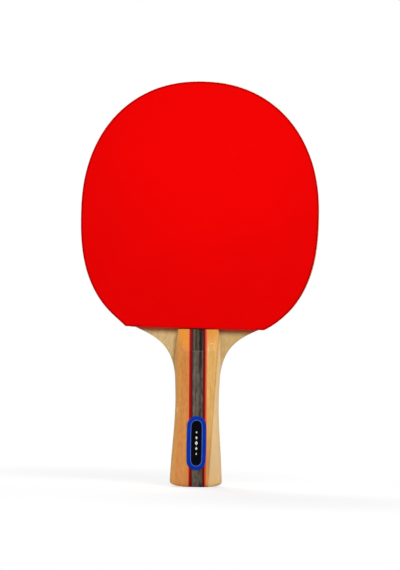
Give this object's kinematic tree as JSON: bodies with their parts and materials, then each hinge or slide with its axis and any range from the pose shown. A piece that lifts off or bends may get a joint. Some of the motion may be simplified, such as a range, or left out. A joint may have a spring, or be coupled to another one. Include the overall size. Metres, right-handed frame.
{
  "type": "table tennis paddle",
  "caption": "Table tennis paddle with a laminated wooden blade, a flared striped handle, and a sponge-backed rubber sheet on each face, red in front and black behind.",
  "frame": {"origin": "bottom centre of the butt of the handle, on the blade's middle plane", "axes": "+Z along the handle to the tip of the head, +X to the right seen from the red face, -Y out of the red face, +Y out of the black face"},
  "size_m": [0.1501, 0.0236, 0.2558],
  "materials": {
    "core_ply": "bare",
    "inner_ply": "bare",
    "outer_ply": "satin",
    "sponge": "open-celled foam",
    "red_rubber": "smooth",
    "black_rubber": "smooth",
    "orange_cheek": "lacquered",
    "yellow_cheek": "lacquered",
    "red_veneer": "dyed, lacquered",
    "grey_strip": "dyed, lacquered",
    "badge": "enamelled"
  },
  "bodies": {
    "root": {"blade_core_ply": "core_ply", "blade_inner_ply_front": "inner_ply", "blade_inner_ply_back": "inner_ply", "blade_outer_ply_front": "outer_ply", "blade_outer_ply_back": "outer_ply", "front_sponge": "sponge", "back_sponge": "sponge", "front_topsheet": "red_rubber", "back_topsheet": "black_rubber", "front_left_cheek": "orange_cheek", "front_left_red_veneer": "red_veneer", "front_centre_strip": "grey_strip", "front_right_red_veneer": "red_veneer", "front_right_cheek": "yellow_cheek", "back_left_cheek": "orange_cheek", "back_left_red_veneer": "red_veneer", "back_centre_strip": "grey_strip", "back_right_red_veneer": "red_veneer", "back_right_cheek": "yellow_cheek", "grip_badge": "badge"}
  },
  "joints": []
}
